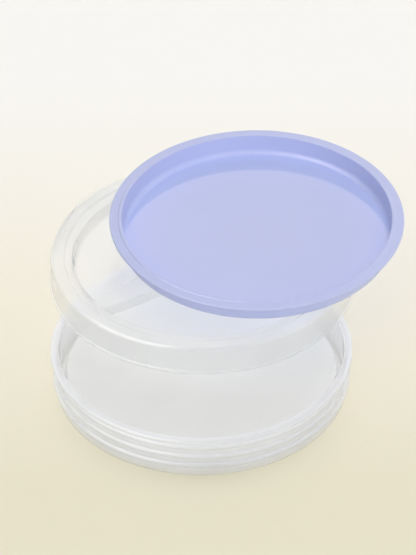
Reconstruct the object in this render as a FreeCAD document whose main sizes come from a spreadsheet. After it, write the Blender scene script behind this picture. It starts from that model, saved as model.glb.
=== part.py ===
import FreeCAD, Part
import os
import re
import Sketcher

# Round wet palette, shown apart: a clear dish with a damp pad and a sheet of paper in it, a clear cover lid
# set back across the dish's rim, and a mixing tray lying on the lid.
# The origin is the middle of the dish's underside, +Z is up and +Y runs to the back. Lengths are in mm.
# Closed, the tray hangs by its lip on the dish's rim, and the lid's rim sits on that lip.

DRIVING_SIZES = [
    ("dish_mouth_radius", 67.2, "inside of the dish's rim"),
    ("dish_height", 23.2, "table to the top of the rim"),
    ("dish_wall", 1.7, "side wall of the dish"),
    ("dish_floor", 1.8, "floor of the dish"),
    ("dish_draft", 0.3, "how far the wall leans in towards the floor"),
    ("dish_rim_width", 3.8, "flat rim, from the mouth outwards"),
    ("dish_rim_thick", 2.2, "depth of the rim's flange"),
    ("dish_rim_round", 0.6, "rounded inner and lower edges of the rim"),
    ("dish_rim_edge_round", 1.2, "rounded outer edge of the rim, on top"),
    ("dish_edge_round", 3.0, "outer edge of the underside"),
    ("dish_corner_round", 2.2, "inner corner of wall and floor"),
    ("dish_rib_count", 3, "stiffening ribs round the wall"),
    ("dish_rib_pitch", 5.4, "rib to rib"),
    ("dish_rib_drop", 5.1, "top of the rim to the middle of the first rib"),
    ("dish_rib_rise", 0.9, "rib beyond the wall"),
    ("dish_rib_half", 1.3, "half of a rib's height at its root"),
    ("lid_height", 15.2, "lower edge to the top of the rim"),
    ("lid_wall", 1.0, "skirt and recess wall"),
    ("lid_clearance", 0.2, "skirt round the dish's rim"),
    ("lid_flare", 0.15, "how far the skirt opens towards its lower edge"),
    ("lid_shoulder_round", 2.0, "outer shoulder of the rim"),
    ("lid_bead_width", 7.0, "raised bead of the rim, from the skirt inwards"),
    ("lid_ledge_drop", 1.0, "bead down to the ledge inside it"),
    ("lid_ledge_thick", 1.4, "plate of the ledge"),
    ("lid_ledge_width", 4.0, "ledge, from the bead to the recess"),
    ("lid_recess_depth", 7.2, "bead down to the recess floor"),
    ("lid_recess_draft", 0.4, "how far the recess wall leans in towards its floor"),
    ("lid_floor", 1.2, "plate of the recess floor"),
    ("lid_soft_edge", 0.5, "small rounded edges of the rim"),
    ("lid_corner_round", 1.8, "corner of recess wall and floor"),
    ("lid_hem_half", 1.1, "half of the height of the rolled lower edge"),
    ("lid_hem_rise", 0.4, "rolled edge beyond the skirt"),
    ("lid_snap_half", 0.8, "half of the height of the snap bead inside the skirt"),
    ("lid_snap_rise", 0.4, "snap bead inwards of the skirt"),
    ("lid_snap_slack", 0.1, "snap bead below the dish's rim when closed"),
    ("grip_middle_width", 14.6, "grip bar at its middle"),
    ("grip_end_width", 8.4, "grip bar where it runs into the recess wall"),
    ("grip_drop", 0.7, "ledge down to the top of the grip bar"),
    ("grip_wall", 1.2, "wall of the hollow bar"),
    ("grip_round", 0.8, "long upper edges of the bar"),
    ("grip_turn", 36.5, "degrees from +X to the bar, anticlockwise"),
    ("tray_height", 11.3, "underside to the top of the lip"),
    ("tray_wall", 1.9, "side wall of the tray"),
    ("tray_floor", 1.5, "floor of the tray"),
    ("tray_draft", 0.8, "how far the wall leans in towards the floor"),
    ("tray_clearance", 0.9, "tray wall inside the dish's mouth"),
    ("tray_lip_inset", 0.8, "lip inside the dish's rim, all round"),
    ("tray_lip_thick", 2.2, "underside of the lip to the top of its bead"),
    ("tray_lip_fall", 0.3, "how far the lip falls away towards its edge"),
    ("tray_lip_round", 0.6, "rounded edges of the lip"),
    ("tray_bead_width", 1.8, "raised bead round the mouth of the tray"),
    ("tray_bead_rise", 0.5, "bead above the lip"),
    ("tray_bead_round", 0.4, "rounded edges of the bead"),
    ("tray_edge_round", 2.8, "outer edge of the underside"),
    ("tray_corner_round", 2.6, "inner corner of wall and floor"),
    ("pad_clearance", 0.8, "pad inside the flat of the dish's floor"),
    ("pad_thick", 8.0, "thickness of the pad"),
    ("pad_edge_round", 1.0, "worn edges of the pad"),
    ("paper_inset", 0.8, "edge of the paper inside the edge of the pad"),
    ("paper_thick", 0.3, "damp sheet of paper"),
    ("lid_aside", 0.7, "lid to the right of the dish's axis"),
    ("lid_back", 51.0, "lid behind the dish's axis"),
    ("tray_aside", 25.9, "tray to the right of the lid's axis"),
    ("tray_back", 14.2, "tray behind the lid's axis"),
    ("rest_gap", 0.05, "play between two pieces that lie on each other"),
]
NEAR = 1e-4
ALIASES = {alias for alias, _, _ in DRIVING_SIZES}

# Radii and levels that several features share, worked out from the sheet.
DISH_RIM = "(dish_mouth_radius + dish_rim_width)"
DISH_WALL_TOP = "(dish_mouth_radius + dish_wall)"
DISH_FOOT = "(dish_mouth_radius + dish_wall - dish_draft)"
DISH_FLOOR_EDGE = "(dish_mouth_radius - dish_draft)"
DISH_RIM_UNDER = "(dish_height - dish_rim_thick)"

LID_INSIDE = f"({DISH_RIM} + lid_clearance)"
LID_OUTSIDE = f"({LID_INSIDE} + lid_wall)"
LID_BEAD_EDGE = f"({LID_OUTSIDE} - lid_bead_width)"
LID_RECESS_TOP = f"({LID_BEAD_EDGE} - lid_ledge_width)"
LID_RECESS_EDGE = f"({LID_RECESS_TOP} - lid_recess_draft)"
LID_LEDGE = "(lid_height - lid_ledge_drop)"
LID_SEAT = f"({LID_LEDGE} - lid_ledge_thick)"
LID_FLOOR_TOP = "(lid_height - lid_recess_depth)"
LID_FLOOR_UNDER = f"({LID_FLOOR_TOP} - lid_floor)"
GRIP_TOP = f"({LID_LEDGE} - grip_drop)"
GRIP_REACH = f"(({LID_RECESS_EDGE} + {LID_RECESS_TOP}) / 2 + lid_wall / 3)"
GRIP_HOLLOW_REACH = f"({LID_RECESS_EDGE} + lid_wall - lid_corner_round - grip_wall)"
GRIP_HOLLOW_TOP = f"({GRIP_TOP} - grip_wall)"
LID_SNAP_LEVEL = f"({LID_SEAT} - tray_lip_thick - dish_rim_thick - lid_snap_slack - lid_snap_half)"

TRAY_LIP = f"({DISH_RIM} - tray_lip_inset)"
TRAY_WALL_TOP = "(dish_mouth_radius - tray_clearance)"
TRAY_MOUTH = f"({TRAY_WALL_TOP} - tray_wall)"
TRAY_FOOT = f"({TRAY_WALL_TOP} - tray_draft)"
TRAY_FLOOR_EDGE = f"({TRAY_MOUTH} - tray_draft)"
TRAY_LIP_UNDER = "(tray_height - tray_lip_thick)"
TRAY_LIP_TOP = "(tray_height - tray_bead_rise)"
TRAY_LIP_EDGE = f"({TRAY_LIP_TOP} - tray_lip_fall)"
TRAY_BEAD_FOOT = f"({TRAY_MOUTH} + tray_bead_width)"
TRAY_BEAD_TOP = f"({TRAY_BEAD_FOOT} - tray_bead_rise)"

PAD_RADIUS = f"({DISH_FLOOR_EDGE} - dish_corner_round - pad_clearance)"
PAPER_RADIUS = f"({PAD_RADIUS} - paper_inset)"
PAD_LEVEL = "(dish_floor + rest_gap)"
PAPER_LEVEL = f"({PAD_LEVEL} + pad_thick + rest_gap)"
LID_LEVEL = "(dish_height + rest_gap)"
TRAY_LEVEL = f"({LID_LEVEL} + lid_height + rest_gap)"

doc = FreeCAD.newDocument("wet_palette")
sheet = doc.addObject("Spreadsheet::Sheet", "Sizes")
for row, (alias, number, meaning) in enumerate(DRIVING_SIZES, start=1):
    sheet.set(f"A{row}", meaning)
    sheet.set(f"B{row}", str(number))
    sheet.setAlias(f"B{row}", alias)
doc.recompute()


def bound(text):
    """The same sum with every size read from the sheet."""
    return re.sub(r"[a-z_]+", lambda word: f"Sizes.{word[0]}" if word[0] in ALIASES else word[0], text)


def value(text):
    """The sum's number for the sizes in the sheet."""
    return float(sheet.evalExpression(bound(text)))


def new_body(label, x="0", y="0", z="0"):
    """An empty body that stands at a place given by the sheet."""
    body = doc.addObject("PartDesign::Body", label)
    body.Label = label
    for axis, place in (("x", x), ("y", y), ("z", z)):
        body.setExpression(f"Placement.Base.{axis}", bound(place))
    return body


def new_sketch(body, name, role):
    """A sketch on one of the body's own origin planes."""
    sketch = body.newObject("Sketcher::SketchObject", name)
    plane = next(item for item in body.Origin.OriginFeatures if item.Role == role)
    sketch.AttachmentSupport = [(plane, "")]
    sketch.MapMode = "FlatFace"
    return sketch


def pin(sketch, curve, end, corner):
    """Holds one end of a curve at a corner whose two distances come from the sheet."""
    axes = (("DistanceX", -2), ("DistanceY", -1))
    for (kind, axis), distance in zip(axes, corner):
        if distance == "0":
            sketch.addConstraint(Sketcher.Constraint("PointOnObject", curve, end, axis))
            continue
        number = sketch.addConstraint(Sketcher.Constraint(kind, -1, 1, curve, end, value(distance)))
        sketch.setExpression(f"Constraints[{number}]", bound(distance))


def draw_outline(sketch, corners):
    """A closed outline of straight lines."""
    points = [FreeCAD.Vector(value(across), value(up), 0) for across, up in corners]
    count = len(points)
    for index in range(count):
        sketch.addGeometry(Part.LineSegment(points[index], points[(index + 1) % count]), False)
    for index, corner in enumerate(corners):
        sketch.addConstraint(Sketcher.Constraint("Coincident", (index - 1) % count, 2, index, 1))
        pin(sketch, index, 1, corner)


def draw_bead(sketch, root, middle, half, rise):
    """A half-round bead: a straight root at one radius and an arc that stands out from it by rise."""
    low = (root, f"({middle} - {half})")
    high = (root, f"({middle} + {half})")
    crest = FreeCAD.Vector(value(f"{root} + {rise}"), value(middle), 0)
    ends = [FreeCAD.Vector(value(across), value(up), 0) for across, up in (low, high)]
    sketch.addGeometry(Part.LineSegment(ends[0], ends[1]), False)
    sketch.addGeometry(Part.Arc(ends[0], crest, ends[1]), False)
    first, last = (1, 2) if sketch.getPoint(1, 1).isEqual(ends[0], NEAR) else (2, 1)
    sketch.addConstraint(Sketcher.Constraint("Coincident", 0, 1, 1, first))
    sketch.addConstraint(Sketcher.Constraint("Coincident", 0, 2, 1, last))
    pin(sketch, 0, 1, low)
    pin(sketch, 0, 2, high)
    number = sketch.addConstraint(Sketcher.Constraint("Radius", 1, sketch.Geometry[1].Radius))
    sketch.setExpression(f"Constraints[{number}]", bound(f"(({half})^2 + ({rise})^2) / (2 * abs({rise}))"))


def revolve(body, name, sketch):
    """Turns a sketch once round the body's upright axis."""
    feature = body.newObject("PartDesign::Revolution", name)
    feature.Profile = sketch
    feature.ReferenceAxis = (sketch, ["V_Axis"])
    feature.Angle = 360
    body.Tip = feature
    doc.recompute()
    return feature


def ring_edges(shape, rings):
    """Names of the round edges of the given radii and levels."""
    names = []
    for radius, level in rings:
        wanted = (value(radius), value(level))
        for number, edge in enumerate(shape.Edges, start=1):
            curve = edge.Curve
            if not isinstance(curve, Part.Circle):
                continue
            if abs(curve.Radius - wanted[0]) < NEAR and abs(curve.Center.z - wanted[1]) < NEAR:
                names.append(f"Edge{number}")
                break
        else:
            raise ValueError(f"no round edge at {wanted}")
    return names


def round_edges(body, name, names, radius):
    """Rounds the named edges of the body's last feature."""
    base = body.Tip
    fillet = body.newObject("PartDesign::Fillet", name)
    fillet.Base = (base, names)
    fillet.setExpression("Radius", bound(radius))
    body.Tip = fillet
    doc.recompute()


def round_rings(body, name, rings, radius):
    """Rounds the round edges of the given radii and levels."""
    round_edges(body, name, ring_edges(body.Tip.Shape, rings), radius)


def arc_edges(shape, radius, level):
    """Names of the arcs of one radius that lie at one level."""
    names = []
    for number, edge in enumerate(shape.Edges, start=1):
        curve = edge.Curve
        if not isinstance(curve, Part.Circle):
            continue
        if abs(curve.Radius - radius) < 1 and abs(curve.Center.z - level) < NEAR:
            names.append(f"Edge{number}")
    return names


def base_dish():
    """The clear dish: a turned shell with a flat flanged rim and stiffening ribs round its wall."""
    body = new_body("base_dish")
    section = new_sketch(body, "dish_section", "XZ_Plane")
    draw_outline(section, [
        ("0", "0"),
        (DISH_FOOT, "0"),
        (DISH_WALL_TOP, DISH_RIM_UNDER),
        (DISH_RIM, DISH_RIM_UNDER),
        (DISH_RIM, "dish_height"),
        ("dish_mouth_radius", "dish_height"),
        (DISH_FLOOR_EDGE, "dish_floor"),
        ("0", "dish_floor"),
    ])
    revolve(body, "dish_shell", section)
    round_rings(body, "dish_edge", [(DISH_FOOT, "0")], "dish_edge_round")
    round_rings(body, "dish_corner", [(DISH_FLOOR_EDGE, "dish_floor")], "dish_corner_round")
    rim_rings = [(DISH_RIM, DISH_RIM_UNDER), ("dish_mouth_radius", "dish_height")]
    round_rings(body, "dish_rim", rim_rings, "dish_rim_round")
    round_rings(body, "dish_rim_edge", [(DISH_RIM, "dish_height")], "dish_rim_edge_round")

    root = f"({DISH_WALL_TOP} - dish_wall / 2)"
    lowest = "(dish_height - dish_rib_drop - dish_rib_pitch * (dish_rib_count - 1))"
    rib_section = new_sketch(body, "rib_section", "XZ_Plane")
    draw_bead(rib_section, root, lowest, "dish_rib_half", "(dish_rib_rise + dish_wall / 2)")
    rib = revolve(body, "lowest_rib", rib_section)
    ribs = body.newObject("PartDesign::LinearPattern", "ribs")
    ribs.Originals = [rib]
    ribs.Direction = (rib_section, ["V_Axis"])
    ribs.Mode = "Spacing"
    ribs.setExpression("Offset", bound("dish_rib_pitch"))
    ribs.setExpression("Occurrences", bound("dish_rib_count"))
    body.Tip = ribs
    return body


def draw_grip(sketch, half_length, narrower):
    """The grip bar's outline: two long bowed sides, drawn in by narrower, and two square ends."""
    half_end = f"(grip_end_width / 2 - {narrower})"
    half_middle = f"(grip_middle_width / 2 - {narrower})"
    bow = f"({half_middle} - {half_end})"
    reach, end, middle = value(half_length), value(half_end), value(half_middle)
    corners = [FreeCAD.Vector(x * reach, y * end, 0) for x, y in ((-1, -1), (1, -1), (1, 1), (-1, 1))]
    sketch.addGeometry(Part.Arc(corners[0], FreeCAD.Vector(0, -middle, 0), corners[1]), False)
    sketch.addGeometry(Part.LineSegment(corners[1], corners[2]), False)
    sketch.addGeometry(Part.Arc(corners[2], FreeCAD.Vector(0, middle, 0), corners[3]), False)
    sketch.addGeometry(Part.LineSegment(corners[3], corners[0]), False)
    ends = {(1, 1): (0, 1), (1, 2): (2, 2), (3, 1): (2, 3), (3, 2): (0, 0)}
    for (line, end_number), (arc, corner) in ends.items():
        arc_end = 1 if sketch.getPoint(arc, 1).isEqual(corners[corner], NEAR) else 2
        sketch.addConstraint(Sketcher.Constraint("Coincident", line, end_number, arc, arc_end))
    for line, end_number, x, y in ((1, 1, "", "-"), (1, 2, "", ""), (3, 1, "-", ""), (3, 2, "-", "-")):
        pin(sketch, line, end_number, (x + half_length, y + half_end))
    side_radius = bound(f"(({half_length})^2 + ({bow})^2) / (2 * {bow})")
    for arc in (0, 2):
        number = sketch.addConstraint(Sketcher.Constraint("Radius", arc, sketch.Geometry[arc].Radius))
        sketch.setExpression(f"Constraints[{number}]", side_radius)


def turn_sketch(sketch, level):
    """Lifts a level sketch to its height and turns it to the grip bar's direction."""
    sketch.AttachmentOffset = FreeCAD.Placement(
        FreeCAD.Vector(0, 0, value(level)), FreeCAD.Rotation(FreeCAD.Vector(0, 0, 1), value("grip_turn")))
    sketch.setExpression("AttachmentOffset.Base.z", bound(level))
    sketch.setExpression("AttachmentOffset.Rotation.Angle", bound("grip_turn"))


def cover_lid():
    """The clear lid, one moulded wall all through: skirt, bead, ledge, recess and a hollow bar across."""
    body = new_body("cover_lid", "lid_aside", "lid_back", LID_LEVEL)
    section = new_sketch(body, "lid_section", "XZ_Plane")
    draw_outline(section, [
        ("0", LID_FLOOR_UNDER),
        (f"({LID_RECESS_EDGE} + lid_wall)", LID_FLOOR_UNDER),
        (f"({LID_RECESS_TOP} + lid_wall)", LID_SEAT),
        (LID_INSIDE, LID_SEAT),
        (f"({LID_INSIDE} + lid_flare)", "0"),
        (f"({LID_OUTSIDE} + lid_flare)", "0"),
        (LID_OUTSIDE, "lid_height"),
        (f"({LID_BEAD_EDGE} + lid_ledge_drop)", "lid_height"),
        (LID_BEAD_EDGE, LID_LEDGE),
        (LID_RECESS_TOP, LID_LEDGE),
        (LID_RECESS_EDGE, LID_FLOOR_TOP),
        ("0", LID_FLOOR_TOP),
    ])
    revolve(body, "lid_shell", section)
    round_rings(body, "lid_shoulder", [(LID_OUTSIDE, "lid_height")], "lid_shoulder_round")
    round_rings(body, "lid_recess_corner", [(LID_RECESS_EDGE, LID_FLOOR_TOP)], "lid_corner_round")
    plug_edge = (f"({LID_RECESS_EDGE} + lid_wall)", LID_FLOOR_UNDER)
    round_rings(body, "lid_plug_edge", [plug_edge], "lid_corner_round")
    soft_rings = [
        (f"({LID_BEAD_EDGE} + lid_ledge_drop)", "lid_height"),
        (LID_BEAD_EDGE, LID_LEDGE),
        (LID_RECESS_TOP, LID_LEDGE),
        (f"({LID_RECESS_TOP} + lid_wall)", LID_SEAT),
        (LID_INSIDE, LID_SEAT),
    ]
    round_rings(body, "lid_soft_edges", soft_rings, "lid_soft_edge")

    hem = new_sketch(body, "hem_section", "XZ_Plane")
    draw_bead(hem, f"({LID_OUTSIDE} - lid_wall / 2)", "lid_hem_half", "lid_hem_half",
              "(lid_hem_rise + lid_flare + lid_wall / 2)")
    revolve(body, "rolled_hem", hem)
    snap = new_sketch(body, "snap_section", "XZ_Plane")
    draw_bead(snap, f"({LID_INSIDE} + lid_wall / 2)", LID_SNAP_LEVEL, "lid_snap_half",
              "(0 - lid_snap_rise - lid_wall / 2)")
    revolve(body, "snap_bead", snap)

    bar_outline = new_sketch(body, "grip_outline", "XY_Plane")
    turn_sketch(bar_outline, LID_FLOOR_TOP)
    draw_grip(bar_outline, GRIP_REACH, "0")
    bar = body.newObject("PartDesign::Pad", "grip_bar")
    bar.Profile = bar_outline
    bar.setExpression("Length", bound(f"{GRIP_TOP} - {LID_FLOOR_TOP}"))
    body.Tip = bar
    doc.recompute()
    long_edges = arc_edges(bar.Shape, bar_outline.Geometry[0].Radius, value(GRIP_TOP))
    if len(long_edges) != 2:
        raise ValueError(f"the grip bar has {len(long_edges)} long upper edges")
    round_edges(body, "grip_top_edges", long_edges, "min(grip_round; 0.45 * grip_end_width)")
    hollow_outline = new_sketch(body, "grip_hollow_outline", "XY_Plane")
    turn_sketch(hollow_outline, LID_FLOOR_UNDER)
    draw_grip(hollow_outline, GRIP_HOLLOW_REACH, "grip_wall")
    hollow = body.newObject("PartDesign::Pocket", "grip_hollow")
    hollow.Profile = hollow_outline
    hollow.Reversed = True
    hollow.setExpression("Length", bound(f"{GRIP_HOLLOW_TOP} - {LID_FLOOR_UNDER}"))
    body.Tip = hollow
    doc.recompute()
    if hollow.Shape.Volume > hollow.BaseFeature.Shape.Volume - 1:
        raise ValueError("the grip bar's hollow cuts nothing")
    return body


def palette_tray():
    """The mixing tray: a shallow turned shell with a beaded lip that hangs on the dish's rim."""
    body = new_body("palette_tray", "(lid_aside + tray_aside)", "(lid_back + tray_back)", TRAY_LEVEL)
    section = new_sketch(body, "tray_section", "XZ_Plane")
    draw_outline(section, [
        ("0", "0"),
        (TRAY_FOOT, "0"),
        (TRAY_WALL_TOP, TRAY_LIP_UNDER),
        (TRAY_LIP, TRAY_LIP_UNDER),
        (TRAY_LIP, TRAY_LIP_EDGE),
        (TRAY_BEAD_FOOT, TRAY_LIP_TOP),
        (TRAY_BEAD_TOP, "tray_height"),
        (TRAY_MOUTH, "tray_height"),
        (TRAY_FLOOR_EDGE, "tray_floor"),
        ("0", "tray_floor"),
    ])
    revolve(body, "tray_shell", section)
    round_rings(body, "tray_edge", [(TRAY_FOOT, "0")], "tray_edge_round")
    round_rings(body, "tray_corner", [(TRAY_FLOOR_EDGE, "tray_floor")], "tray_corner_round")
    bead_rings = [
        (TRAY_BEAD_FOOT, TRAY_LIP_TOP),
        (TRAY_BEAD_TOP, "tray_height"),
        (TRAY_MOUTH, "tray_height"),
    ]
    round_rings(body, "tray_bead", bead_rings, "tray_bead_round")
    lip_rings = [(TRAY_LIP, TRAY_LIP_UNDER), (TRAY_LIP, TRAY_LIP_EDGE)]
    edge_thick = f"({TRAY_LIP_EDGE} - {TRAY_LIP_UNDER})"
    round_rings(body, "tray_lip", lip_rings, f"min(tray_lip_round; 0.45 * {edge_thick})")
    return body


def disc(label, radius, thick, level):
    """A round slab of one thickness in the dish."""
    body = new_body(label, z=level)
    outline = new_sketch(body, f"{label}_outline", "XY_Plane")
    outline.addGeometry(Part.Circle(FreeCAD.Vector(0, 0, 0), FreeCAD.Vector(0, 0, 1), value(radius)), False)
    outline.addConstraint(Sketcher.Constraint("Coincident", 0, 3, -1, 1))
    number = outline.addConstraint(Sketcher.Constraint("Radius", 0, value(radius)))
    outline.setExpression(f"Constraints[{number}]", bound(radius))
    slab = body.newObject("PartDesign::Pad", f"{label}_slab")
    slab.Profile = outline
    slab.setExpression("Length", bound(thick))
    body.Tip = slab
    doc.recompute()
    return body


def sponge_pad():
    """The absorbent pad on the dish's floor, with its edges worn round."""
    body = disc("sponge_pad", PAD_RADIUS, "pad_thick", PAD_LEVEL)
    rings = [(PAD_RADIUS, "0"), (PAD_RADIUS, "pad_thick")]
    round_rings(body, "pad_edges", rings, "min(pad_edge_round; 0.45 * pad_thick)")
    return body


def palette_paper():
    """The sheet of paper on the pad."""
    return disc("palette_paper", PAPER_RADIUS, "paper_thick", PAPER_LEVEL)


pieces = [base_dish(), sponge_pad(), palette_paper(), cover_lid(), palette_tray()]
doc.recompute()
for item in doc.Objects:
    if "Invalid" in item.State or "Error" in item.State:
        raise RuntimeError(f"{item.Label} failed: {item.State}")
for piece in pieces:
    if piece.Shape.isNull() or not piece.Shape.isValid() or len(piece.Shape.Solids) != 1:
        raise RuntimeError(f"{piece.Label} is not one sound solid")
os.makedirs("parts", exist_ok=True)
for piece in pieces:
    piece.Shape.exportStep(f"parts/{piece.Label}.step")
    box = piece.Shape.optimalBoundingBox()
    print(f"{piece.Label}: {box.XLength:.2f} x {box.YLength:.2f} x {box.ZLength:.2f} mm,"
          f" {piece.Shape.Volume / 1000:.2f} cm3, level {box.ZMin:.2f} to {box.ZMax:.2f}")
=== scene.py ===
import math

import bmesh
import bpy
from bpy.props import FloatProperty, FloatVectorProperty, IntProperty, PointerProperty
from mathutils import Matrix, Vector


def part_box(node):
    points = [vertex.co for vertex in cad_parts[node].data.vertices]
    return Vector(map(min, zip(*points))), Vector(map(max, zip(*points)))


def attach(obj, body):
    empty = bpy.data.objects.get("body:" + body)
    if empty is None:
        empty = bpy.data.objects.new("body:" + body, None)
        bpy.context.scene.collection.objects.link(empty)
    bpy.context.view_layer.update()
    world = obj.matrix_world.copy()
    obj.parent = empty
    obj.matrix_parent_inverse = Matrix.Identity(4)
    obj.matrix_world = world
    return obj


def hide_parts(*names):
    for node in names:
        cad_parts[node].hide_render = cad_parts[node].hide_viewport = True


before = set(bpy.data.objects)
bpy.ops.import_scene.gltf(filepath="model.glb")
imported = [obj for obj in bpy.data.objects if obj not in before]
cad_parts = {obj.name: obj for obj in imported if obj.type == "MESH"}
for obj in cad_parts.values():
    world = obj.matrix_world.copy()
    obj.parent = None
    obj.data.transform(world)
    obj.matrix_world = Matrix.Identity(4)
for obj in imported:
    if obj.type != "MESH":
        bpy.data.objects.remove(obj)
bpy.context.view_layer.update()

bl_info = {
    "name": "Round Wet Palette",
    "version": (1, 0, 0),
    "blender": (4, 5, 0),
    "location": "View3D > Sidebar > Palette",
    "description": "Finishes the dish, lid and tray, models the pad and the paper, and sets the stage",
    "category": "Object",
}

MM = 0.001
SENSOR_HEIGHT = 36.0
IN_FRONT = 0.0
BEHIND = math.pi

# Sockets of a Mix node that mixes colours.
MIX_FIRST, MIX_SECOND, MIX_RESULT = 6, 7, 2

# Noise textures: how fine they go, the mean of their values, and where a cloud starts and is full.
GRAIN_DETAIL, GRAIN_ROUGHNESS = 2.0, 0.55
RIPPLE_DETAIL, RIPPLE_ROUGHNESS = 1.0, 0.5
CLOUD_ROUGHNESS = 0.6
NOISE_MEAN = 0.5
CLOUD_START, CLOUD_FULL = 0.35, 0.65

# Height of the ripples of a face beside that of its grain.
RIPPLE_SHARE = 2.5

# Distance from a foam cell's middle, in cells, where its dark floor of painted shade ends and its wall is
# reached.
CELL_FLOOR, CELL_WALL = 0.1, 0.55

# An edge is on the pad's rim if it is level to within this height and beyond this share of the radius.
LEVEL_TOLERANCE = 0.01 * MM
RIM_SHARE = 0.99

# Faces across the pad's worn edge.
EDGE_SEGMENTS = 4

# Faces of the paper that meet at more than this angle keep a sharp edge.
SHARP_ANGLE = math.radians(40)


def box_middle(node):
    """The middle of a CAD node's box."""
    low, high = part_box(node)
    return (low + high) / 2


def box_radius(node):
    """Half of the width of a round CAD node."""
    low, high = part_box(node)
    return (high.x - low.x) / 2


class ClearPlasticLook(bpy.types.PropertyGroup):
    """Finish of the milky clear plastic of the dish and the lid"""

    dish_tint: FloatVectorProperty(
        name="Dish tint", description="Colour of the dish's plastic", subtype="COLOR", min=0, max=1,
        default=(0.895, 0.908, 0.945))
    lid_tint: FloatVectorProperty(
        name="Lid tint", description="Colour of the lid's plastic", subtype="COLOR", min=0, max=1,
        default=(0.948, 0.956, 0.960))
    haze: FloatProperty(
        name="Haze", description="Brightness of the cloudier places beside the rest", subtype="FACTOR",
        min=0, max=1, default=0.975)
    dish_clearness: FloatProperty(
        name="Dish clearness", description="Share of the light that passes a face of the dish",
        subtype="FACTOR", min=0, max=1, default=0.54)
    lid_clearness: FloatProperty(
        name="Lid clearness", description="Share of the light that passes a face of the thinner lid",
        subtype="FACTOR", min=0, max=1, default=0.77)
    shadow: FloatVectorProperty(
        name="Shadow", description="What one face leaves of a lamp's light", subtype="COLOR", min=0, max=1,
        default=(0.985, 0.985, 0.986))
    refraction: FloatProperty(
        name="Refraction", description="Index of refraction of the plastic", min=1, max=2, default=1.09)
    roughness: FloatProperty(
        name="Roughness", description="Mean roughness of the moulded face", subtype="FACTOR", min=0, max=1,
        default=0.30)
    roughness_spread: FloatProperty(
        name="Roughness spread", description="How far the roughness varies", subtype="FACTOR", min=0, max=1,
        default=0.06)
    gloss: FloatProperty(
        name="Gloss", description="Weight of the polished skin", subtype="FACTOR", min=0, max=1,
        default=1.0)
    gloss_roughness: FloatProperty(
        name="Gloss roughness", description="Roughness of the polished skin", subtype="FACTOR",
        min=0, max=1, default=0.06)
    cloud_width: FloatProperty(
        name="Cloud width", description="Width of one cloudier place", unit="LENGTH", min=0.001,
        default=35.71 * MM)
    cloud_detail: FloatProperty(
        name="Cloud detail", description="How many finer layers the clouds have", min=0, default=3.0)
    grain_width: FloatProperty(
        name="Grain width", description="Width of one grain of the face", unit="LENGTH", min=0.0001,
        default=1.111 * MM)
    ripple_width: FloatProperty(
        name="Ripple width", description="Width of one ripple of the face", unit="LENGTH", min=0.0001,
        default=8.333 * MM)
    bump_depth: FloatProperty(
        name="Bump depth", description="Depth of the grain and the ripples", unit="LENGTH", min=0,
        default=0.02 * MM)
    bump_strength: FloatProperty(
        name="Bump strength", description="How much of the depth shows", subtype="FACTOR", min=0, max=1,
        default=0.12)


class TrayPlasticLook(bpy.types.PropertyGroup):
    """Finish of the tray's satin plastic"""

    colour: FloatVectorProperty(
        name="Colour", description="Colour of the plastic", subtype="COLOR", min=0, max=1,
        default=(0.532, 0.576, 0.876))
    streak: FloatVectorProperty(
        name="Streak", description="Colour where the pigment is thinner", subtype="COLOR", min=0, max=1,
        default=(0.542, 0.586, 0.882))
    shadow: FloatVectorProperty(
        name="Shadow", description="What one face leaves of a lamp's light", subtype="COLOR", min=0, max=1,
        default=(0.05, 0.45, 0.72))
    roughness: FloatProperty(
        name="Roughness", description="Mean roughness of the satin face", subtype="FACTOR", min=0, max=1,
        default=0.36)
    roughness_spread: FloatProperty(
        name="Roughness spread", description="How far the roughness varies", subtype="FACTOR", min=0, max=1,
        default=0.10)
    gloss: FloatProperty(
        name="Gloss", description="Weight of the polished skin", subtype="FACTOR", min=0, max=1,
        default=0.12)
    gloss_roughness: FloatProperty(
        name="Gloss roughness", description="Roughness of the polished skin", subtype="FACTOR",
        min=0, max=1, default=0.10)
    cloud_width: FloatProperty(
        name="Cloud width", description="Width of one place with thinner pigment", unit="LENGTH", min=0.001,
        default=45.45 * MM)
    cloud_detail: FloatProperty(
        name="Cloud detail", description="How many finer layers the clouds have", min=0, default=4.0)
    grain_width: FloatProperty(
        name="Grain width", description="Width of one grain of the face", unit="LENGTH", min=0.0001,
        default=0.7143 * MM)
    ripple_width: FloatProperty(
        name="Ripple width", description="Width of one ripple of the face", unit="LENGTH", min=0.0001,
        default=6.25 * MM)
    bump_depth: FloatProperty(
        name="Bump depth", description="Depth of the grain and the ripples", unit="LENGTH", min=0,
        default=0.02 * MM)
    bump_strength: FloatProperty(
        name="Bump strength", description="How much of the depth shows", subtype="FACTOR", min=0, max=1,
        default=0.4)


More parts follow.
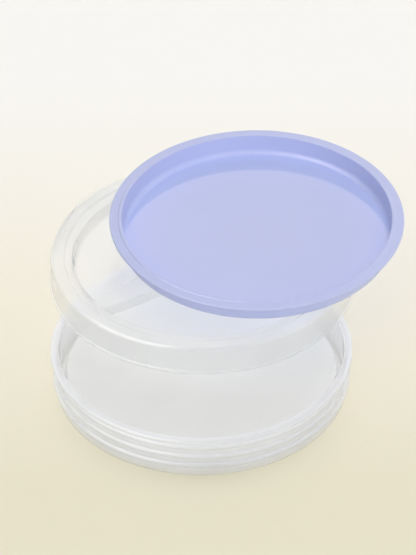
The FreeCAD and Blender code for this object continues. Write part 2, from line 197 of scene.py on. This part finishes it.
class FoamLook(bpy.types.PropertyGroup):
    """Shape and finish of the foam pad"""

    colour: FloatVectorProperty(
        name="Colour", description="Colour of the foam", subtype="COLOR", min=0, max=1,
        default=(0.80, 0.80, 0.79))
    haze: FloatProperty(
        name="Haze", description="Brightness of the cloudier places beside the rest", subtype="FACTOR",
        min=0, max=1, default=0.94)
    # Painted shade: the darker colour down in the foam's open cells.
    pore_painted_shade: FloatVectorProperty(
        name="Pore", description="Colour down in the cells", subtype="COLOR", min=0, max=1,
        default=(0.66, 0.67, 0.67))
    shadow: FloatVectorProperty(
        name="Shadow", description="What one face leaves of a lamp's light", subtype="COLOR", min=0, max=1,
        default=(0.70, 0.70, 0.69))
    roughness: FloatProperty(
        name="Roughness", description="Roughness of the foam", subtype="FACTOR", min=0, max=1, default=0.9)
    cloud_width: FloatProperty(
        name="Cloud width", description="Width of one cloudier place", unit="LENGTH", min=0.001,
        default=16.67 * MM)
    cloud_detail: FloatProperty(
        name="Cloud detail", description="How many finer layers the clouds have", min=0, default=4.0)
    bump_depth: FloatProperty(
        name="Bump depth", description="Depth of the finer cells", unit="LENGTH", min=0, default=0.4 * MM)
    bump_strength: FloatProperty(
        name="Bump strength", description="How much of the depth shows", subtype="FACTOR", min=0, max=1,
        default=0.6)
    sides: IntProperty(name="Sides", description="Points round the pad's edge", min=16, default=128)
    edge_round: FloatProperty(
        name="Edge round", description="Worn edge of the pad", unit="LENGTH", min=0, default=1.2 * MM)
    voxel: FloatProperty(
        name="Voxel", description="Size of the faces of the foam's skin", unit="LENGTH", min=0.0003,
        default=0.9 * MM)
    cell: FloatProperty(
        name="Cell", description="Width of one open cell", unit="LENGTH", min=0.0005, default=2.2 * MM)
    cell_depth: FloatProperty(
        name="Cell depth", description="How far the open cells reach in", unit="LENGTH", min=0,
        default=0.7 * MM)
    cell_contrast: FloatProperty(
        name="Cell contrast", description="How steeply the cells fall in", min=0, default=1.3)


class PaperLook(bpy.types.PropertyGroup):
    """Shape and finish of the damp paper"""

    colour: FloatVectorProperty(
        name="Colour", description="Colour of the paper", subtype="COLOR", min=0, max=1,
        default=(0.71, 0.722, 0.718))
    damp: FloatVectorProperty(
        name="Damp", description="Colour where the paper has soaked up water", subtype="COLOR",
        min=0, max=1, default=(0.695, 0.707, 0.705))
    shadow: FloatVectorProperty(
        name="Shadow", description="What one face leaves of a lamp's light", subtype="COLOR", min=0, max=1,
        default=(0.88, 0.88, 0.87))
    roughness: FloatProperty(
        name="Roughness", description="Mean roughness of the paper", subtype="FACTOR", min=0, max=1,
        default=0.6)
    roughness_spread: FloatProperty(
        name="Roughness spread", description="How far the roughness varies", subtype="FACTOR", min=0, max=1,
        default=0.25)
    cloud_width: FloatProperty(
        name="Cloud width", description="Width of one damp place", unit="LENGTH", min=0.001,
        default=28.57 * MM)
    cloud_detail: FloatProperty(
        name="Cloud detail", description="How many finer layers the damp places have", min=0, default=5.0)
    grain_width: FloatProperty(
        name="Grain width", description="Width of one fibre", unit="LENGTH", min=0.0001,
        default=0.4545 * MM)
    ripple_width: FloatProperty(
        name="Ripple width", description="Width of one tuft of fibre", unit="LENGTH", min=0.0001,
        default=2.0 * MM)
    bump_depth: FloatProperty(
        name="Bump depth", description="Depth of the fibre", unit="LENGTH", min=0, default=0.05 * MM)
    bump_strength: FloatProperty(
        name="Bump strength", description="How much of the depth shows", subtype="FACTOR", min=0, max=1,
        default=0.5)
    thickness: FloatProperty(
        name="Thickness", description="Thickness of the sheet", unit="LENGTH", min=0.00005,
        default=0.18 * MM)
    cockle: FloatProperty(
        name="Cockle", description="Height of the waves of the damp sheet", unit="LENGTH", min=0,
        default=0.45 * MM)
    cockle_width: FloatProperty(
        name="Cockle width", description="Width of one wave", unit="LENGTH", min=0.001, default=24 * MM)
    sides: IntProperty(name="Sides", description="Points round the sheet's edge", min=16, default=160)
    rings: IntProperty(name="Rings", description="Rings of faces from edge to middle", min=2, default=24)


class StageSetup(bpy.types.PropertyGroup):
    """Floor, light and camera"""

    floor_front: FloatVectorProperty(
        name="Floor, front", description="Colour of the floor before the dish", subtype="COLOR",
        min=0, max=1, default=(0.823, 0.784, 0.631))
    floor_middle: FloatVectorProperty(
        name="Floor, middle", description="Colour of the floor beside the lid", subtype="COLOR",
        min=0, max=1, default=(0.900, 0.866, 0.760))
    floor_back: FloatVectorProperty(
        name="Floor, back", description="Colour of the floor far behind", subtype="COLOR", min=0, max=1,
        default=(0.965, 0.956, 0.947))
    floor_near: FloatProperty(
        name="Floor, near", description="Where the front colour starts to change", unit="LENGTH",
        default=-70 * MM)
    floor_far: FloatProperty(
        name="Floor, far", description="Where the back colour is reached", unit="LENGTH", default=240 * MM)
    # Painted shade: how much the floor's colour darkens near the palette, standing in for its shadow.
    floor_painted_shade: FloatProperty(
        name="Floor shade", description="How much darker the floor is where the palette covers it",
        subtype="FACTOR", min=0, max=1, default=0.12)
    floor_painted_shade_reach: FloatProperty(
        name="Floor shade reach", description="How far from the palette the floor is darker", unit="LENGTH",
        min=0, default=60 * MM)
    floor_roughness: FloatProperty(
        name="Floor roughness", description="Roughness of the floor", subtype="FACTOR", min=0, max=1,
        default=0.9)
    floor_shine: FloatProperty(
        name="Floor shine", description="How strongly the floor mirrors", subtype="FACTOR", min=0, max=1,
        default=0.1)
    floor_size: FloatProperty(
        name="Floor size", description="Side of the square floor", unit="LENGTH", min=1, default=12.0)
    sky: FloatVectorProperty(
        name="Sky", description="Soft light from all round", subtype="COLOR", min=0, max=1,
        default=(0.20, 0.208, 0.215))
    studio: FloatVectorProperty(
        name="Studio", description="The bright room that gloss and clear plastic show", subtype="COLOR",
        min=0, max=1, default=(0.92, 0.93, 0.94))
    top: FloatVectorProperty(
        name="Top", description="Colour of the wide lamps above and in front", subtype="COLOR",
        min=0, max=1, default=(0.97, 0.985, 1.0))
    top_strength: FloatProperty(
        name="Top strength", description="Strength of the wide lamp above", min=0, default=1.0)
    top_height: FloatProperty(
        name="Top height", description="How high the wide lamp above stands", subtype="ANGLE",
        default=math.radians(80))
    top_width: FloatProperty(
        name="Top width", description="How wide the soft lamps above, in front and behind look",
        subtype="ANGLE", default=math.radians(60))
    tray_shadow: FloatProperty(
        name="Tray shadow", description="Share of the lamp above that the tray stands in the way of",
        subtype="FACTOR", min=0, max=1, default=0.3)
    fill_strength: FloatProperty(
        name="Fill strength", description="Strength of the lamp in front, which lights the tray alone",
        min=0, default=1.4)
    fill_height: FloatProperty(
        name="Fill height", description="How high the lamp in front stands", subtype="ANGLE",
        default=math.radians(55))
    key: FloatVectorProperty(
        name="Key", description="Colour of the lamps behind the palette", subtype="COLOR", min=0, max=1,
        default=(1.0, 0.90, 0.74))
    key_strength: FloatProperty(
        name="Key strength", description="Strength of each lamp behind the palette", min=0, default=1.2)
    key_height: FloatProperty(
        name="Key height", description="How high the lamps behind stand", subtype="ANGLE",
        default=math.radians(34))
    key_width: FloatProperty(
        name="Key width", description="How wide the small lamp behind looks", subtype="ANGLE",
        default=math.radians(2))
    box: FloatVectorProperty(
        name="Soft box", description="Colour of the soft box that gloss shows", subtype="COLOR",
        min=0, max=1, default=(1.0, 0.93, 0.88))
    box_strength: FloatProperty(
        name="Soft box strength", description="Brightness of the soft box in gloss", min=0, default=6.0)
    box_height: FloatProperty(
        name="Soft box height", description="How high the soft box stands", subtype="ANGLE",
        default=math.radians(45))
    box_turn: FloatProperty(
        name="Soft box turn", description="From straight ahead to the soft box at the front left",
        subtype="ANGLE", default=math.radians(60))
    box_width: FloatProperty(
        name="Soft box width", description="How wide the soft box looks", subtype="ANGLE",
        default=math.radians(70))
    box_core: FloatProperty(
        name="Soft box core", description="Share of the soft box's width that is fully bright",
        subtype="FACTOR", min=0, max=1, default=2 / 3)
    ring: FloatVectorProperty(
        name="Ring", description="Colour of the lamps all round", subtype="COLOR", min=0, max=1,
        default=(1.0, 0.99, 0.98))
    ring_count: IntProperty(name="Ring count", description="Lamps all round", min=0, default=5)
    ring_strength: FloatProperty(
        name="Ring strength", description="Strength of all the lamps of the ring together", min=0,
        default=2.85)
    ring_height: FloatProperty(
        name="Ring height", description="How high the lamps of the ring stand", subtype="ANGLE",
        default=math.radians(16))
    ring_width: FloatProperty(
        name="Ring width", description="How wide each lamp of the ring looks", subtype="ANGLE",
        default=math.radians(50))
    camera_distance: FloatProperty(
        name="Camera distance", description="Camera to the middle of the dish", unit="LENGTH", default=3.0)
    camera_height: FloatProperty(
        name="Camera height", description="How high the camera stands, seen from the dish", subtype="ANGLE",
        default=math.radians(38.97))
    camera_roll: FloatProperty(
        name="Camera roll", description="Turn of the picture", subtype="ANGLE", default=math.radians(-0.2))
    aim: FloatVectorProperty(
        name="Aim", description="Point in the middle of the picture", subtype="XYZ_LENGTH",
        default=(3.26 * MM, 31.8 * MM, 39.3 * MM))
    view_height: FloatProperty(
        name="View height", description="Height of the picture at the aim", unit="LENGTH",
        default=262.3 * MM)


class PaletteSettings(bpy.types.PropertyGroup):
    """All that can be set on the wet palette"""

    clear: PointerProperty(type=ClearPlasticLook)
    tray: PointerProperty(type=TrayPlasticLook)
    foam: PointerProperty(type=FoamLook)
    paper: PointerProperty(type=PaperLook)
    stage: PointerProperty(type=StageSetup)


def opaque(colour):
    """A colour with full alpha, as a colour socket takes it."""
    return (*colour, 1.0)


def scaled(colour, share):
    """A colour with each part times the same share."""
    return [share * part for part in colour]


def way_to(turn, height):
    """The direction to a place in front, turned to the left and raised by the two angles."""
    level = math.cos(height)
    return Vector((-level * math.sin(turn), -level * math.cos(turn), math.sin(height)))


def add_node(tree, kind, inputs=None, **settings):
    """A node with its settings made and its inputs linked or set."""
    node = tree.nodes.new(kind)
    for name, setting in settings.items():
        setattr(node, name, setting)
    for name, source in (inputs or {}).items():
        if isinstance(source, bpy.types.NodeSocket):
            tree.links.new(source, node.inputs[name])
        else:
            node.inputs[name].default_value = source
    return node


def reckon(tree, operation, *sources, clamp=False):
    """The result of a sum on numbers and sockets."""
    inputs = dict(enumerate(sources))
    return add_node(tree, "ShaderNodeMath", inputs, operation=operation, use_clamp=clamp).outputs[0]


def soft_step(tree, source, start, full):
    """The result of a smooth rise from 0 at the start to 1 where it is full."""
    limits = {"Value": source, "From Min": start, "From Max": full}
    return add_node(tree, "ShaderNodeMapRange", limits, interpolation_type="SMOOTHSTEP").outputs["Result"]


def mix_colours(tree, factor, first, second):
    """The result of a mix of two colours, each of them a socket or the same all over."""
    inputs = {"Factor": factor, MIX_FIRST: first, MIX_SECOND: second}
    return add_node(tree, "ShaderNodeMix", inputs, data_type="RGBA").outputs[MIX_RESULT]


def new_group(name, inputs, outputs):
    """An empty node group with named sockets, and its two ends."""
    tree = bpy.data.node_groups.new(name, "ShaderNodeTree")
    for in_out, sockets in (("INPUT", inputs), ("OUTPUT", outputs)):
        for label, kind in sockets:
            tree.interface.new_socket(name=label, in_out=in_out, socket_type=f"NodeSocket{kind}")
    return tree, tree.nodes.new("NodeGroupInput").outputs, tree.nodes.new("NodeGroupOutput").inputs


def fine_grain():
    """Grain and ripples of a face: a height for the bump, and a roughness that varies with the ripples."""
    group = bpy.data.node_groups.get("Fine Grain")
    if group:
        return group
    group, start, end = new_group(
        "Fine Grain",
        [("Vector", "Vector"), ("Grain", "Float"), ("Ripple", "Float"), ("Roughness", "Float"),
         ("Spread", "Float")],
        [("Height", "Float"), ("Roughness", "Float")])
    grain = add_node(group, "ShaderNodeTexNoise", {
        "Vector": start["Vector"], "Scale": start["Grain"], "Detail": GRAIN_DETAIL,
        "Roughness": GRAIN_ROUGHNESS}).outputs["Fac"]
    ripple = add_node(group, "ShaderNodeTexNoise", {
        "Vector": start["Vector"], "Scale": start["Ripple"], "Detail": RIPPLE_DETAIL,
        "Roughness": RIPPLE_ROUGHNESS}).outputs["Fac"]
    height = reckon(group, "ADD", reckon(group, "MULTIPLY", ripple, RIPPLE_SHARE), grain)
    swing = reckon(group, "SUBTRACT", ripple, NOISE_MEAN)
    roughness = reckon(group, "MULTIPLY_ADD", swing, start["Spread"], start["Roughness"])
    group.links.new(height, end["Height"])
    group.links.new(roughness, end["Roughness"])
    return group


def cloudy_tone():
    """Slow drift between two colours, as in plastic, foam and paper that aren't quite even."""
    group = bpy.data.node_groups.get("Cloudy Tone")
    if group:
        return group
    group, start, end = new_group(
        "Cloudy Tone",
        [("Vector", "Vector"), ("Scale", "Float"), ("Detail", "Float"), ("Color", "Color"),
         ("Cloud", "Color")],
        [("Color", "Color")])
    cloud = add_node(group, "ShaderNodeTexNoise", {
        "Vector": start["Vector"], "Scale": start["Scale"], "Detail": start["Detail"],
        "Roughness": CLOUD_ROUGHNESS}).outputs["Fac"]
    mask = soft_step(group, cloud, CLOUD_START, CLOUD_FULL)
    group.links.new(mix_colours(group, mask, start["Color"], start["Cloud"]), end["Color"])
    return group


def new_material(name):
    """A material with its tree, its Principled shader, still plain, and its coordinates."""
    material = bpy.data.materials.new(name)
    material.use_nodes = True
    tree = material.node_tree
    place = add_node(tree, "ShaderNodeTexCoord").outputs["Object"]
    return material, tree, tree.nodes["Principled BSDF"], place


def add_tone(tree, place, look, colour, cloud):
    """The drifting colour of a finish."""
    return add_node(tree, "ShaderNodeGroup", node_tree=cloudy_tone(), inputs={
        "Vector": place, "Scale": 1 / look.cloud_width, "Detail": look.cloud_detail,
        "Color": opaque(colour), "Cloud": opaque(cloud)}).outputs["Color"]


def add_bump(tree, shader, height, look):
    """Feeds a height to the shader's normal."""
    bump = add_node(tree, "ShaderNodeBump", {
        "Height": height, "Distance": look.bump_depth, "Strength": look.bump_strength})
    tree.links.new(bump.outputs["Normal"], shader.inputs["Normal"])


def add_grained_face(tree, shader, place, look, colour, cloud):
    """Gives the shader a drifting colour, and a grain with a roughness that varies."""
    tree.links.new(add_tone(tree, place, look, colour, cloud), shader.inputs["Base Color"])
    grain = add_node(tree, "ShaderNodeGroup", node_tree=fine_grain(), inputs={
        "Vector": place, "Grain": 1 / look.grain_width, "Ripple": 1 / look.ripple_width,
        "Roughness": look.roughness, "Spread": look.roughness_spread})
    tree.links.new(grain.outputs["Roughness"], shader.inputs["Roughness"])
    add_bump(tree, shader, grain.outputs["Height"], look)


def add_polish(shader, look):
    """Puts the polished skin of moulded plastic on the shader."""
    shader.inputs["Coat Weight"].default_value = look.gloss
    shader.inputs["Coat Roughness"].default_value = look.gloss_roughness


def let_light_through(tree, shader, colour):
    """Lets a share of a lamp's light through each face of the piece, in a colour."""
    lamp_ray = add_node(tree, "ShaderNodeLightPath").outputs["Is Shadow Ray"]
    passing = add_node(tree, "ShaderNodeBsdfTransparent", {"Color": opaque(colour)})
    mix = add_node(tree, "ShaderNodeMixShader", {0: lamp_ray, 1: shader.outputs[0], 2: passing.outputs[0]})
    tree.links.new(mix.outputs[0], tree.nodes["Material Output"].inputs["Surface"])


def milky_clear_plastic(look, name, tint, clearness):
    """Glossy see-through plastic with a little haze in it."""
    material, tree, shader, place = new_material(name)
    add_grained_face(tree, shader, place, look, tint, scaled(tint, look.haze))
    add_polish(shader, look)
    shader.inputs["IOR"].default_value = look.refraction
    shader.inputs["Transmission Weight"].default_value = clearness
    let_light_through(tree, shader, look.shadow)
    return material


def satin_tray_plastic(look):
    """Satin plastic with faintly uneven pigment."""
    material, tree, shader, place = new_material("satin_tray_plastic")
    add_grained_face(tree, shader, place, look, look.colour, look.streak)
    add_polish(shader, look)
    let_light_through(tree, shader, look.shadow)
    return material


def open_cell_foam(look):
    """Matt foam with painted shade: darker down in its cells."""
    material, tree, shader, place = new_material("open_cell_foam")
    tone = add_tone(tree, place, look, look.colour, scaled(look.colour, look.haze))
    cells = add_node(tree, "ShaderNodeTexVoronoi", {"Vector": place, "Scale": 1 / look.cell})
    height = soft_step(tree, cells.outputs["Distance"], CELL_FLOOR, CELL_WALL)
    # Painted shade: the pore colour darkens the cell floors. It is mixed by the same step that gives the
    # bump its height.
    tree.links.new(mix_colours(tree, height, opaque(look.pore_painted_shade), tone), shader.inputs["Base Color"])
    shader.inputs["Roughness"].default_value = look.roughness
    add_bump(tree, shader, height, look)
    let_light_through(tree, shader, look.shadow)
    return material


def damp_paper_finish(look):
    """Paper fibre, a little darker where it is wet."""
    material, tree, shader, place = new_material("damp_paper_finish")
    add_grained_face(tree, shader, place, look, look.colour, look.damp)
    let_light_through(tree, shader, look.shadow)
    return material


def floor_finish(stage):
    """Pale floor, warm in front, near white behind, with painted shade: darker close to the palette, by
    ambient occlusion in its colour.
    """
    material, tree, shader, place = new_material("pale_floor")
    along = add_node(tree, "ShaderNodeSeparateXYZ", {0: place}).outputs["Y"]
    span = add_node(tree, "ShaderNodeMapRange", {
        "Value": along, "From Min": stage.floor_near, "From Max": stage.floor_far})
    ramp = add_node(tree, "ShaderNodeValToRGB", {"Fac": span.outputs["Result"]})
    stops = ramp.color_ramp.elements
    first, last = stops
    first.color = opaque(stage.floor_front)
    last.color = opaque(stage.floor_back)
    stops.new((first.position + last.position) / 2).color = opaque(stage.floor_middle)
    # Painted shade: ambient occlusion darkens the floor's colour near the palette, in place of a cast
    # shadow.
    painted_shade_ao = add_node(tree, "ShaderNodeAmbientOcclusion", {"Distance": stage.floor_painted_shade_reach})
    light = add_node(tree, "ShaderNodeMapRange", {
        "Value": painted_shade_ao.outputs["AO"], "To Min": 1 - stage.floor_painted_shade})
    colour = add_node(tree, "ShaderNodeVectorMath", {
        0: ramp.outputs["Color"], "Scale": light.outputs["Result"]}, operation="SCALE")
    tree.links.new(colour.outputs["Vector"], shader.inputs["Base Color"])
    shader.inputs["Roughness"].default_value = stage.floor_roughness
    shader.inputs["Specular IOR Level"].default_value = stage.floor_shine
    return material


def studio_world(stage):
    """Soft light on every matt face, and a bright room with a soft box in gloss and clear plastic."""
    world = bpy.data.worlds.new("studio")
    world.use_nodes = True
    tree = world.node_tree
    rays = add_node(tree, "ShaderNodeLightPath").outputs
    seen = reckon(tree, "ADD", rays["Is Camera Ray"], rays["Is Glossy Ray"])
    seen = reckon(tree, "ADD", seen, rays["Is Transmission Ray"], clamp=True)
    seen = reckon(tree, "SUBTRACT", seen, rays["Diffuse Depth"], clamp=True)
    sight = add_node(tree, "ShaderNodeTexCoord").outputs["Generated"]
    box_way = way_to(stage.box_turn, stage.box_height)
    near = add_node(tree, "ShaderNodeVectorMath", {0: sight, 1: box_way}, operation="DOT_PRODUCT")
    edge = stage.box_width / 2
    patch = soft_step(tree, near.outputs["Value"], math.cos(edge), math.cos(stage.box_core * edge))
    room = mix_colours(tree, patch, opaque(stage.studio), opaque(scaled(stage.box, stage.box_strength)))
    light = mix_colours(tree, seen, opaque(stage.sky), room)
    tree.links.new(light, tree.nodes["Background"].inputs["Color"])
    return world


def add_lamp(name, colour, strength, width, turn, height):
    """A distant lamp that lights matt faces and leaves no glare on gloss."""
    bpy.ops.object.light_add(type="SUN", rotation=(math.pi / 2 - height, 0, turn))
    lamp = bpy.context.object
    lamp.name = name
    lamp.data.color = colour
    lamp.data.energy = strength
    lamp.data.angle = width
    lamp.data.cycles.use_multiple_importance_sampling = False
    lamp.visible_glossy = lamp.visible_transmission = False
    return lamp


def link_light(lamp, role, piece, state):
    """Lets one piece alone, or all but that piece, receive a lamp's light or stand in its way."""
    linked = bpy.data.collections.new(f"{lamp.name}_{role}")
    linked.objects.link(piece)
    linked.collection_objects[0].light_linking.link_state = state
    setattr(lamp.light_linking, role, linked)


def add_lamps(stage, tray):
    """Lamps for the tray alone, and soft lamps for the rest, of which the tray shades only a share."""
    key = add_lamp("key_lamp", stage.key, stage.key_strength, stage.key_width, BEHIND, stage.key_height)
    fill = add_lamp(
        "fill_lamp", stage.top, stage.fill_strength, stage.top_width, IN_FRONT, stage.fill_height)
    for lamp in (key, fill):
        link_light(lamp, "receiver_collection", tray, "INCLUDE")
    shaded = stage.tray_shadow * stage.top_strength
    open_light = stage.top_strength - shaded
    top = add_lamp("top_lamp", stage.top, shaded, stage.top_width, IN_FRONT, stage.top_height)
    soft_lamps = [
        add_lamp("top_lamp", stage.top, open_light, stage.top_width, IN_FRONT, stage.top_height),
        add_lamp("back_lamp", stage.key, stage.key_strength, stage.top_width, BEHIND, stage.key_height),
    ]
    for lamp in (top, *soft_lamps):
        link_light(lamp, "receiver_collection", tray, "EXCLUDE")
    for number in range(stage.ring_count):
        turn = 2 * math.pi * number / stage.ring_count
        share = stage.ring_strength / stage.ring_count
        lamp = add_lamp("ring_lamp", stage.ring, share, stage.ring_width, turn, stage.ring_height)
        soft_lamps.append(lamp)
    for lamp in soft_lamps:
        link_light(lamp, "blocker_collection", tray, "EXCLUDE")


def add_camera(stage):
    """A camera that looks down at the aim and shows the view height."""
    place = way_to(IN_FRONT, stage.camera_height) * stage.camera_distance
    sight = Vector(stage.aim) - place
    turned = sight.to_track_quat("-Z", "Y").to_matrix() @ Matrix.Rotation(stage.camera_roll, 3, "Z")
    bpy.ops.object.camera_add(location=place, rotation=turned.to_euler())
    camera = bpy.context.object
    camera.name = "camera"
    camera.data.sensor_fit = "VERTICAL"
    camera.data.sensor_height = SENSOR_HEIGHT
    camera.data.lens = SENSOR_HEIGHT * sight.length / stage.view_height
    return camera


def start_piece():
    """Leaves nothing selected, so that the next operators act on the new piece alone."""
    if bpy.context.object and bpy.context.object.mode != "OBJECT":
        bpy.ops.object.mode_set(mode="OBJECT")
    bpy.ops.object.select_all(action="DESELECT")


def name_piece(name, material):
    """Names the piece that was just added and gives it its finish."""
    piece = bpy.context.object
    piece.name = name
    piece.data.name = name
    piece.data.materials.clear()
    piece.data.materials.append(material)
    return piece


def settle_piece():
    """Puts the active piece's place into its mesh."""
    bpy.ops.object.transform_apply(location=True, rotation=True, scale=True)


def select_rim_edges(piece, radius):
    """Selects the edges that run round the piece at its full radius, and nothing else."""
    bpy.ops.mesh.select_mode(type="EDGE")
    bpy.ops.mesh.select_all(action="DESELECT")
    mesh = bmesh.from_edit_mesh(piece.data)
    for edge in mesh.edges:
        level = abs(edge.verts[0].co.z - edge.verts[1].co.z) < LEVEL_TOLERANCE
        outer = all(corner.co.xy.length > RIM_SHARE * radius for corner in edge.verts)
        edge.select_set(level and outer)
    mesh.select_flush_mode()
    bmesh.update_edit_mesh(piece.data)


def apply_modifier(piece, name, kind, **settings):
    """Adds a modifier and applies it at once."""
    modifier = piece.modifiers.new(name, kind)
    for label, setting in settings.items():
        setattr(modifier, label, setting)
    bpy.ops.object.modifier_apply(modifier=modifier.name)


def noise_texture(name, kind, size, **settings):
    """A procedural texture for displacing a mesh."""
    texture = bpy.data.textures.new(name, kind)
    texture.noise_scale = size
    for label, setting in settings.items():
        setattr(texture, label, setting)
    return texture


class PALETTE_OT_clear_shells(bpy.types.Operator):
    """Gives the dish and the lid their milky clear finish"""

    bl_idname = "palette.clear_shells"
    bl_label = "Finish dish and lid"

    def execute(self, context):
        look = context.scene.palette.clear
        dish = milky_clear_plastic(look, "milky_dish_plastic", look.dish_tint, look.dish_clearness)
        lid = milky_clear_plastic(look, "clear_lid_plastic", look.lid_tint, look.lid_clearness)
        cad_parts["base_dish"].material_slots[0].material = dish
        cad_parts["cover_lid"].material_slots[0].material = lid
        return {"FINISHED"}


class PALETTE_OT_mixing_tray(bpy.types.Operator):
    """Gives the tray its satin finish"""

    bl_idname = "palette.mixing_tray"
    bl_label = "Finish tray"

    def execute(self, context):
        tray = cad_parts["palette_tray"]
        tray.material_slots[0].material = satin_tray_plastic(context.scene.palette.tray)
        return {"FINISHED"}


class PALETTE_OT_foam_pad(bpy.types.Operator):
    """Models the foam pad on the dish's floor"""

    bl_idname = "palette.foam_pad"
    bl_label = "Model foam pad"

    def execute(self, context):
        look = context.scene.palette.foam
        low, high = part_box("sponge_pad")
        middle, radius = box_middle("sponge_pad"), box_radius("sponge_pad")
        start_piece()
        bpy.ops.mesh.primitive_cylinder_add(
            vertices=look.sides, radius=radius, depth=high.z - low.z, location=middle)
        pad = name_piece("foam_pad", open_cell_foam(look))
        bpy.ops.object.mode_set(mode="EDIT")
        select_rim_edges(pad, radius)
        bpy.ops.mesh.bevel(offset=look.edge_round, segments=EDGE_SEGMENTS, affect="EDGES")
        bpy.ops.object.mode_set(mode="OBJECT")
        settle_piece()
        apply_modifier(pad, "skin", "REMESH", mode="VOXEL", voxel_size=look.voxel)
        cells = noise_texture("foam_cells", "VORONOI", look.cell, distance_metric="DISTANCE",
                              noise_intensity=look.cell_contrast)
        apply_modifier(pad, "cells", "DISPLACE", texture=cells, texture_coords="LOCAL",
                       strength=look.cell_depth, mid_level=1.0)
        bpy.ops.object.shade_smooth()
        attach(pad, "pad")
        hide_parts("sponge_pad")
        return {"FINISHED"}


class PALETTE_OT_damp_paper(bpy.types.Operator):
    """Models the damp sheet of paper on the pad"""

    bl_idname = "palette.damp_paper"
    bl_label = "Model damp paper"

    def execute(self, context):
        look = context.scene.palette.paper
        low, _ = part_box("palette_paper")
        middle, radius = box_middle("palette_paper"), box_radius("palette_paper")
        start_piece()
        bpy.ops.mesh.primitive_circle_add(
            vertices=look.sides, radius=radius, fill_type="NGON", location=(middle.x, middle.y, low.z))
        sheet = name_piece("damp_sheet", damp_paper_finish(look))
        bpy.ops.object.mode_set(mode="EDIT")
        bpy.ops.mesh.select_mode(type="FACE")
        bpy.ops.mesh.select_all(action="SELECT")
        for _ in range(look.rings - 1):
            bpy.ops.mesh.inset(thickness=radius / look.rings)
        bpy.ops.mesh.poke()
        bpy.ops.object.mode_set(mode="OBJECT")
        settle_piece()
        waves = noise_texture("paper_waves", "CLOUDS", look.cockle_width, noise_depth=1)
        apply_modifier(sheet, "cockle", "DISPLACE", texture=waves, texture_coords="LOCAL",
                       direction="Z", strength=look.cockle, mid_level=0.0)
        apply_modifier(sheet, "thickness", "SOLIDIFY", thickness=look.thickness, offset=1.0)
        bpy.ops.object.shade_smooth_by_angle(angle=SHARP_ANGLE)
        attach(sheet, "sheet")
        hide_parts("palette_paper")
        return {"FINISHED"}


class PALETTE_OT_stage(bpy.types.Operator):
    """Lays the floor and sets the light and the camera"""

    bl_idname = "palette.stage"
    bl_label = "Set the stage"

    def execute(self, context):
        scene, stage = context.scene, context.scene.palette.stage
        start_piece()
        bpy.ops.mesh.primitive_plane_add(size=stage.floor_size)
        name_piece("floor", floor_finish(stage))
        scene.world = studio_world(stage)
        add_lamps(stage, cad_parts["palette_tray"])
        scene.camera = add_camera(stage)
        scene.view_settings.view_transform = "Standard"
        return {"FINISHED"}


class PALETTE_PT_panel(bpy.types.Panel):
    """Lists the palette's pieces and what can be set on them"""

    bl_label = "Wet palette"
    bl_idname = "PALETTE_PT_panel"
    bl_space_type = "VIEW_3D"
    bl_region_type = "UI"
    bl_category = "Palette"

    def draw(self, context):
        for operator, group in OPERATORS:
            box = self.layout.box()
            box.operator(operator.bl_idname)
            settings = getattr(context.scene.palette, group)
            for name in settings.bl_rna.properties.keys():
                if name not in ("rna_type", "name"):
                    box.prop(settings, name)


OPERATORS = (
    (PALETTE_OT_clear_shells, "clear"),
    (PALETTE_OT_mixing_tray, "tray"),
    (PALETTE_OT_foam_pad, "foam"),
    (PALETTE_OT_damp_paper, "paper"),
    (PALETTE_OT_stage, "stage"),
)
CLASSES = (
    ClearPlasticLook,
    TrayPlasticLook,
    FoamLook,
    PaperLook,
    StageSetup,
    PaletteSettings,
    *(operator for operator, _ in OPERATORS),
    PALETTE_PT_panel,
)


def register():
    for kind in CLASSES:
        bpy.utils.register_class(kind)
    bpy.types.Scene.palette = PointerProperty(type=PaletteSettings)


def unregister():
    del bpy.types.Scene.palette
    for kind in reversed(CLASSES):
        bpy.utils.unregister_class(kind)


def main():
    """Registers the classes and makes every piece."""
    register()
    bpy.ops.palette.clear_shells()
    bpy.ops.palette.mixing_tray()
    bpy.ops.palette.foam_pad()
    bpy.ops.palette.damp_paper()
    bpy.ops.palette.stage()


if __name__ == "__main__":
    main()
